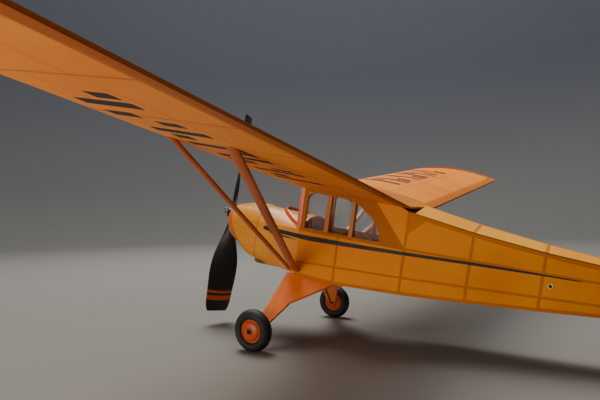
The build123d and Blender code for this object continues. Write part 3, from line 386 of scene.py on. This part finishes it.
# The amber tissue is the gold tissue made darker and deeper for the fuselage sides and belly, which sit in
# shade: painted shade.
SHADED_AMBER = ((240, 148, 4), (220, 120, 2), (140, 66, 2))
WARM = ((252, 156, 58), (242, 128, 30), (146, 62, 10))
SPAN_GRAIN = (0.5, 0.03, 0.5)
LENGTH_GRAIN = (0.02, 0.5, 0.6)
UPRIGHT_GRAIN = (0.6, 0.5, 0.03)
STRUT_GRAIN = (0.5, 0.05, 0.05)
LEG_GRAIN = (0.3, 0.05, 0.05)

finishes = {
    "side": tissue("tissue_sides", *SHADED_AMBER, sticks_and_shadows=side_frame_and_shade, stick_shade=0.5),
    "deck": tissue("tissue_deck", *GOLD, sticks_and_shadows=deck_frame_and_shade),
    "tail": tissue("tissue_tail", *GOLD, sticks_and_shadows=tail_frame_and_shade),
    "fin": tissue("tissue_fin", *GOLD, sticks_and_shadows=fin_frame_and_shade),
    "wing": tissue("tissue_wing", *WARM),
    "balsa": wood("balsa", (206, 128, 50), (172, 92, 30), LENGTH_GRAIN),
    "spar": wood("balsa_spar", (204, 130, 56), (170, 94, 34), SPAN_GRAIN),
    "roof": wood("roof_sheet", (232, 142, 34), (196, 104, 18), LENGTH_GRAIN, coat=0.1),
    "nose": painted_nose(),
    "trim": wood(
        "orange_trim", (232, 104, 26), (204, 76, 14), UPRIGHT_GRAIN, roughness=0.32, coat=0.3, streak=0.7,
    ),
    "block": wood(
        "orange_block", (226, 116, 46), (196, 86, 28), LENGTH_GRAIN, roughness=0.34, coat=0.2, streak=0.8,
    ),
    # The strut wood is the orange trim made darker and browner, for struts that sit in shade: painted
    # shade.
    "strut": wood("strut_wood", (184, 88, 18), (138, 56, 6), STRUT_GRAIN, roughness=0.4, coat=0.15),
    "leg": wood("leg_wood", (244, 128, 22), (220, 100, 10), LEG_GRAIN, roughness=0.45, coat=0.1),
    "black": moulded("black_paint", (20, 17, 15), (12, 10, 10), 0.62),
    "blade": bladed(),
    "rubber": moulded("tyre_rubber", (26, 25, 25), (15, 15, 16), 0.62, bump_m=0.00015),
    "hub": moulded("hub_orange", (204, 86, 30), (178, 64, 18), 0.38),
    "metal": moulded("music_wire", (150, 148, 145), (104, 102, 100), 0.3, metallic=1.0),
    "tube": moulded("aluminium_tube", (206, 186, 150), (168, 146, 112), 0.45, metallic=1.0),
    "brass": moulded("brass", (214, 172, 84), (168, 126, 52), 0.3, metallic=1.0),
    "strip": moulded("rubber_strip", (196, 166, 116), (160, 128, 82), 0.6),
    "clear": clear("clear_sheet"),
}

NODE_FINISH = {
    "side": ("side_covering_left", "side_covering_right", "belly_covering"),
    "deck": ("deck_covering",),
    "tail": ("tailplane_covering", "elevator_covering"),
    "fin": ("fin_covering", "rudder_covering"),
    "balsa": (
        "side_frame_left", "side_frame_right", "cross_members", "deck_frame", "side_stringers", "firewall",
        "nose_former", "instrument_panel", "peg_plates",
    ),
    "spar": (
        "wing_edges_left", "wing_edges_right", "wing_spars_left", "wing_spars_right", "wing_ribs_left",
        "wing_ribs_right", "tailplane_frame", "fin_frame", "elevator_frame", "rudder_frame",
    ),
    "roof": ("centre_section",),
    "nose": ("nose_cowl", "front_sheeting", "chin_scoop"),
    "trim": ("windscreen_frame",),
    "block": ("nose_block",),
    "strut": ("strut_front_left", "strut_rear_left", "strut_front_right", "strut_rear_right"),
    "leg": ("leg_fairing_left", "leg_fairing_right"),
    "black": ("control_stick", "tail_wheel", "wheel_retainers"),
    "blade": ("propeller",),
    "rubber": ("tyre_left", "tyre_right"),
    "hub": ("hub_left", "hub_right"),
    "metal": ("gear_wires", "tail_wheel_wire", "prop_shaft"),
    "tube": ("motor_peg", "thrust_washers"),
    "brass": ("thrust_bearing",),
    "strip": ("rubber_motor",),
    "clear": ("windscreen", "window_left", "window_right"),
    "wing": ("wing_covering_left", "wing_covering_right"),
}
for key, names in NODE_FINISH.items():
    for name in names:
        mesh = frame["nodes"][name].data
        mesh.materials.clear()
        mesh.materials.append(finishes[key])


# ---- pieces made here ----
def piece(name, places_m, faces, key, body, sharp=35.0, sticks_and_shadows=None):
    """Mesh piece in frame metres, with its finish and the body that it rides on."""
    mesh = bpy.data.meshes.new(name)
    mesh.from_pydata(places_m, [], faces)
    if sticks_and_shadows:
        layer = mesh.attributes.new("sticks_and_shadows", "FLOAT", "POINT")
        layer.data.foreach_set("value", sticks_and_shadows)
    mesh.update()
    mesh.shade_smooth()
    mesh.set_sharp_from_angle(angle=radians(sharp))
    mesh.materials.append(finishes[key])
    obj = bpy.data.objects.new(name, mesh)
    bpy.context.scene.collection.objects.link(obj)
    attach(obj, body)
    return obj


def band_faces(rings, count):
    """Quads between rings of points."""
    faces = []
    for ring in range(rings - 1):
        here = ring * count
        there = here + count
        for step in range(count):
            turn = (step + 1) % count
            faces.append((here + step, here + turn, there + turn, there + step))
    return faces


def ring_faces(rings, count):
    """Quads between rings of points, with the first and last ring capped."""
    faces = band_faces(rings, count)
    faces.append(tuple(range(count))[::-1])
    faces.append(tuple((rings - 1) * count + step for step in range(count)))
    return faces


def outward(faces, turned_in):
    """The same faces, wound the other way where they would look inwards."""
    return [face[::-1] for face in faces] if turned_in else faces


def wing_point(x, out, up, side):
    """Datum point on a wing panel from its chordwise, spanwise and upward distances."""
    return (
        WING_LE[0] - x * cos(INCIDENCE) - up * cos(DIHEDRAL) * sin(INCIDENCE),
        side * (WING_LE[1] + out * cos(DIHEDRAL) - up * sin(DIHEDRAL) * cos(INCIDENCE)),
        WING_LE[2] - x * sin(INCIDENCE) + out * sin(DIHEDRAL) + up * cos(DIHEDRAL) * cos(INCIDENCE),
    )


def clipped(value):
    """Value held between nought and one."""
    return min(1.0, max(0.0, value))


def wing_edges(out):
    """Front and back of the plan outline at one spanwise place."""
    meet = 0.73 * CHORD
    front = clipped((out - TIP_START) / (TIP_END - TIP_START))
    back_start = TIP_START + 36.0
    back = clipped((out - back_start) / (TIP_END - back_start))
    return (
        meet * (1 - (1 - front ** 2) ** 0.43),
        CHORD - (CHORD - meet) * (1 - sqrt(1 - back ** 2)),
    )


def sag(out):
    """Depth of the tissue's dip, from nought on a rib to one in the middle of a bay."""
    if out > TIP_START + 39:
        return 0.0
    share = (out % RIB_PITCH) / RIB_PITCH
    return sin(pi * share) ** 1.3


def upper_height(share, thick):
    """Upper surface over the flat bottom."""
    curve = 0.2205 * CHORD * sqrt(share) * (1 - share) ** 0.85 * thick
    return sqrt(curve ** 2 + NOSE_Z ** 2)


def between(value, low, high):
    """Smooth step from nought at low to one at high."""
    share = clipped((value - low) / (high - low))
    return share * share * (3 - 2 * share)


# Chordwise places of the covering's points, close together at the edges and spars.
CHORD_SHARES = [
    0.0, 0.006, 0.018, 0.036, 0.042, 0.06, 0.09, 0.13, 0.18, 0.23, 0.263, 0.268, 0.292, 0.297, 0.35,
    0.42, 0.5, 0.56, 0.583, 0.588, 0.612, 0.617, 0.68, 0.75, 0.82, 0.88, 0.912, 0.918, 0.96, 1.0,
]
NOSE_SHARE = 0.036          # of the chord, over which the lower surface curves up to the nose
BAY_SHARES = [0.03, 0.045, 0.1, 0.2, 0.32, 0.44, 0.56, 0.68, 0.8, 0.9, 0.965, 0.985]
RIBS = 6                    # ribs outboard of the root
TIP_STEPS = 22
TIP_LIFT = 2.2              # rise of the flat bottom towards the tip's edge
RIB_HALF = 0.8
UPPER_DIP = 0.75            # how far the tissue dips between ribs
LOWER_DIP = 0.35


def wing_rows():
    """Spanwise places of the covering's rings, close together at each rib."""
    rows = [0.0]
    for rib in range(RIBS):
        rows += [(rib + share) * RIB_PITCH for share in BAY_SHARES]
    rows = [row for row in rows if row < TIP_START]
    for step in range(TIP_STEPS + 1):
        rows.append(TIP_START + (TIP_END - TIP_START) * sin(pi / 2 * step / TIP_STEPS))
    last_rib = RIBS * RIB_PITCH
    return sorted(rows + [last_rib - 1.0, last_rib + 2.4])


def wing_covering(side, name):
    """Doped tissue over one wing panel, scalloped between its ribs and closed at both ends."""
    points = []
    sticks_and_shadows = []
    rows = wing_rows()
    for out in rows:
        front, back = wing_edges(min(out, TIP_END - 0.02))
        chord = back - front
        thick = (chord / CHORD) ** 0.75
        lift = TIP_LIFT * (1 - chord / CHORD) ** 2
        depth = sag(out) * thick
        from_rib = (out + RIB_PITCH / 2) % RIB_PITCH - RIB_PITCH / 2 - RIB_HALF
        on_rib = 1.0 - between(abs(from_rib), 0.9, 1.9)
        if out > RIBS * RIB_PITCH + 5:
            on_rib = 0.0
        for upper in (False, True):
            shares = CHORD_SHARES if upper else CHORD_SHARES[::-1]
            for share in shares:
                x = front + share * chord
                ahead = x - front
                behind = back - x
                open_part = between(ahead, LE_STRIP, LE_STRIP + 16)
                open_part *= between(behind, TE_STRIP, TE_STRIP + 14)
                if upper:
                    up = upper_height(share, thick) - UPPER_DIP * depth * open_part
                    up = min(up, TRAILING + (1 - share) * 60)
                else:
                    nose = (1 - min(1.0, share / NOSE_SHARE)) ** 2
                    up = min(LOWER_DIP * depth * open_part + NOSE_Z * nose, NOSE_Z)
                points.append(wing_point(x, out, up + lift, side))
                # The darker tone over ribs, spars, edge strips and the tip is partly the wood seen through
                # the tissue and partly painted shade; the edge strips are painted darker underneath than
                # on top, as painted shade of light coming through the tissue.
                spar = max(1.0 - between(abs(share - place) * CHORD, 1.4, 2.2) for place in SPARS)
                front_edge = 1.0 - between(ahead, LE_STRIP - 0.6, LE_STRIP + 0.4)
                back_edge = 1.0 - between(behind, TE_STRIP - 0.6, TE_STRIP + 0.6)
                edge = max(front_edge, 1.3 * back_edge) * (0.75 if upper else 1.0)
                tip = 1.0 - between(TIP_END - out, 3.5, 5.0)
                sticks_and_shadows.append(max(0.75 * on_rib, edge, 0.22 * spar, 0.8 * tip))
    faces = outward(ring_faces(len(rows), 2 * len(CHORD_SHARES)), side < 0)
    places_m = [at(*point) for point in points]
    obj = piece(name, places_m, faces, "wing", "airframe", sharp=50.0, sticks_and_shadows=sticks_and_shadows)
    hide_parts(name.replace("wing_tissue", "wing_covering"))


wing_covering(1, "wing_tissue_left")
wing_covering(-1, "wing_tissue_right")


# ---- dark bars on the port wing's underside and the starboard wing's top ----
BAR_FRONT = 17.0
BAR_BACK = 60.0
BAR_WIDE = 8.0
BAR_PAIRS = 7
PAIR_START = 50.0
PAIR_PITCH = 30.0
PAIR_GAP = 12.5             # from the first bar of a pair to the second
BAR_STEPS = 10
BAR_PROUD = 0.12
BAR_PARTS = ((0.0, 1.0), (0.1, 0.45), (0.0, 1.0), (0.55, 0.95), (0.0, 0.5), (0.0, 1.0), (0.6, 1.0))


def wing_bar(name, side, upper, start, low, high):
    """One painted bar across part of the chord, lying on the tissue."""
    places_m = []
    for step in range(BAR_STEPS + 1):
        share = low + (high - low) * step / BAR_STEPS
        x = BAR_FRONT + (BAR_BACK - BAR_FRONT) * share
        for out, face in ((start, 1), (start + BAR_WIDE, 1), (start + BAR_WIDE, -1), (start, -1)):
            if upper:
                up = upper_height(x / CHORD, 1.0) - UPPER_DIP * sag(out) + BAR_PROUD * face
            else:
                up = LOWER_DIP * sag(out) - BAR_PROUD * face
            places_m.append(at(*wing_point(x, out, up, side)))
    faces = outward(ring_faces(BAR_STEPS + 1, 4), (side < 0) == upper)
    piece(name, places_m, faces, "black", "airframe")


for index in range(2 * BAR_PAIRS):
    start = PAIR_START + PAIR_PITCH * (index // 2) + PAIR_GAP * (index % 2)
    low, high = BAR_PARTS[index % len(BAR_PARTS)]
    wing_bar(f"wing_bar_under_{index + 1}", 1, False, start, low, high)
    wing_bar(f"wing_bar_top_{index + 1}", -1, True, start, low, high)


# ---- black stripe along each side ----
# Distance forwards, top and bottom of the stripe and of the spur below its front end.
STRIPE = (
    (-62.5, -3.6, -5.4), (-64.5, -2.6, -6.4), (-70.0, -2.4, -7.0), (-82.0, -2.9, -6.9),
    (-98.0, -3.2, -7.2), (-107.0, -3.3, -7.5), (-118.0, -3.2, -7.8), (-153.0, -2.4, -6.3),
    (-181.0, -1.5, -4.9), (-208.5, -0.5, -3.4), (-260.0, 1.3, -1.0), (-300.0, 2.2, 0.6),
    (-334.0, 2.4, 1.7), (-336.6, 2.1, 2.0),
)
SPUR = ((-71.0, -6.6, -8.4), (-80.0, -7.4, -9.4), (-92.0, -8.2, -9.6), (-104.0, -9.2, -9.4))
STRIPE_PROUD = 0.14


def stripe(name, side, rows):
    """Painted band that follows the fuselage side."""
    places_m = []
    for x, top, low in rows:
        wide = half_width(x)
        for z, face in ((top, 1), (low, 1), (low, -1), (top, -1)):
            places_m.append(at(x, side * (wide + STRIPE_PROUD * face), z))
    faces = outward(ring_faces(len(rows), 4), side < 0)
    piece(name, places_m, faces, "black", "airframe")


for side, hand in ((1, "left"), (-1, "right")):
    stripe(f"stripe_{hand}", side, STRIPE)
    stripe(f"stripe_spur_{hand}", side, SPUR)


# ---- wheel hubs: domed discs with a stepped rim ----
HUB_TURNS = 72
# Radius and distance outwards along the axle, from the bore's outer end round to its inner end.
HUB_PROFILE = (
    (0.9, 4.2), (2.0, 4.6), (2.3, 6.4), (3.0, 6.4), (3.3, 5.6), (5.5, 5.3), (7.4, 4.7), (8.2, 4.0),
    (8.6, 3.2), (9.4, 3.2), (9.9, 3.8), (10.3, 3.6), (10.3, -3.6), (9.9, -3.8), (8.6, -3.2),
    (5.5, -4.6), (3.0, -5.4), (2.3, -6.4), (0.9, -6.4),
)


def domed_hub(name, node, body):
    """Turned wheel hub round its own axle, hollow for the wire."""
    low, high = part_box(node)
    centre = (low + high) / 2
    out = 1 if centre.y > 0 else -1
    places_m = []
    for step in range(HUB_TURNS):
        angle = 2 * pi * step / HUB_TURNS
        for radius, along in HUB_PROFILE:
            places_m.append(centre + Vector((radius * cos(angle), out * along, radius * sin(angle))) * MM)
    count = len(HUB_PROFILE)
    faces = []
    for step in range(HUB_TURNS):
        here = step * count
        after = (step + 1) % HUB_TURNS * count
        for row in range(count):
            below = (row + 1) % count
            faces.append((here + row, after + row, after + below, here + below))
    obj = piece(name, places_m, outward(faces, out < 0), "hub", body, sharp=40.0)
    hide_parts(node)


domed_hub("wheel_disc_left", "hub_left", "left_wheel")
domed_hub("wheel_disc_right", "hub_right", "right_wheel")


# ---- floor, backdrop and light ----
FLOOR_M = 2.0               # radius of the flat part
SWEEP_M = 1.3               # radius of the sweep up into the wall
WALL_TOP_M = 3.4
SWEEP_STEPS = 16
FLOOR_TURNS = 64


def studio():
    """Pale floor that sweeps up into a blue-grey wall all round."""
    profile = [(0.0, 0.0), (FLOOR_M * 0.6, 0.0), (FLOOR_M, 0.0)]
    for step in range(1, SWEEP_STEPS + 1):
        angle = pi / 2 * step / SWEEP_STEPS
        profile.append((FLOOR_M + SWEEP_M * sin(angle), SWEEP_M * (1 - cos(angle))))
    profile += [(FLOOR_M + SWEEP_M, 2.2), (FLOOR_M + SWEEP_M, WALL_TOP_M)]
    points = []
    for radius, height in profile:
        for step in range(FLOOR_TURNS):
            angle = 2 * pi * step / FLOOR_TURNS
            points.append((radius * cos(angle), radius * sin(angle), height))
    mesh = bpy.data.meshes.new("studio_floor")
    mesh.from_pydata(points, [], band_faces(len(profile), FLOOR_TURNS))
    mesh.shade_smooth()
    material = bpy.data.materials.new("studio_paper")
    material.use_nodes = True
    tree = material.node_tree
    shader = tree.nodes["Principled BSDF"]
    shader.inputs["Roughness"].default_value = 0.9
    shader.inputs["Specular IOR Level"].default_value = 0.1
    coords = tree.nodes.new("ShaderNodeTexCoord")
    split = tree.nodes.new("ShaderNodeSeparateXYZ")
    tree.links.new(coords.outputs["Object"], split.inputs[0])
    height = tree.nodes.new("ShaderNodeMapRange")
    height.interpolation_type = "SMOOTHSTEP"
    height.inputs["From Min"].default_value = 0.0
    height.inputs["From Max"].default_value = SWEEP_M
    tree.links.new(split.outputs[2], height.inputs["Value"])
    mix = tree.nodes.new("ShaderNodeMix")
    mix.data_type = "RGBA"
    mix.inputs[6].default_value = linear(130, 127, 121)
    mix.inputs[7].default_value = linear(104, 106, 112)
    tree.links.new(height.outputs[0], mix.inputs[0])
    tree.links.new(mix.outputs[2], shader.inputs["Base Color"])
    mesh.materials.append(material)
    floor = bpy.data.objects.new("studio_floor", mesh)
    bpy.context.scene.collection.objects.link(floor)


def soft_light(name, place_m, target_m, size_m, watts, tint):
    """Square soft box aimed at a point."""
    data = bpy.data.lights.new(name, "AREA")
    data.size = size_m
    data.energy = watts
    data.color = tint
    light = bpy.data.objects.new(name, data)
    light.location = place_m
    light.rotation_mode = "QUATERNION"
    light.rotation_quaternion = (Vector(target_m) - Vector(place_m)).to_track_quat("-Z", "Y")
    bpy.context.scene.collection.objects.link(light)


studio()
MIDDLE_M = (0.0, 0.0, 0.05)
soft_light("key", (0.75, -0.45, 1.5), MIDDLE_M, 0.8, 24.0, (1.0, 0.97, 0.92))
soft_light("fill", (-0.9, 1.7, 0.9), MIDDLE_M, 1.6, 4.0, (1.0, 0.97, 0.94))
soft_light("bounce", (0.2, 0.62, 0.02), (0.05, 0.27, 0.24), 0.5, 4.5, (1.0, 0.9, 0.74))
soft_light("wall", (0.2, -0.4, 2.6), (1.4, -2.6, 0.9), 1.6, 60.0, (0.94, 0.97, 1.0))
world = bpy.data.worlds.new("room")
world.use_nodes = True
background = world.node_tree.nodes["Background"]
background.inputs["Color"].default_value = linear(205, 212, 222)
background.inputs["Strength"].default_value = 0.38
bpy.context.scene.world = world

# ---- camera ----
CAMERA_AT = (-327.62, 405.65, 50.48)
CAMERA_LOOK = (0.5136, -0.8566, -0.0504)
CAMERA_UP = (0.1375, 0.0242, 0.9902)
LENS = 27.86
SENSOR = 36.0
CLIP_START_M = 0.01


def turned(direction):
    """Frame direction of a datum direction."""
    x, y, z = direction
    return (FORWARD * x + PORT * y + UPWARD * z).normalized()


back = -turned(CAMERA_LOOK)
right = turned(CAMERA_UP).cross(back).normalized()
camera_data = bpy.data.cameras.new("camera")
camera_data.lens = LENS
camera_data.sensor_width = SENSOR
camera_data.clip_start = CLIP_START_M
camera = bpy.data.objects.new("camera", camera_data)
turn = Matrix((right, back.cross(right), back)).transposed()
camera.matrix_world = Matrix.Translation(at(*CAMERA_AT)) @ turn.to_4x4()
bpy.context.scene.collection.objects.link(camera)
bpy.context.scene.camera = camera
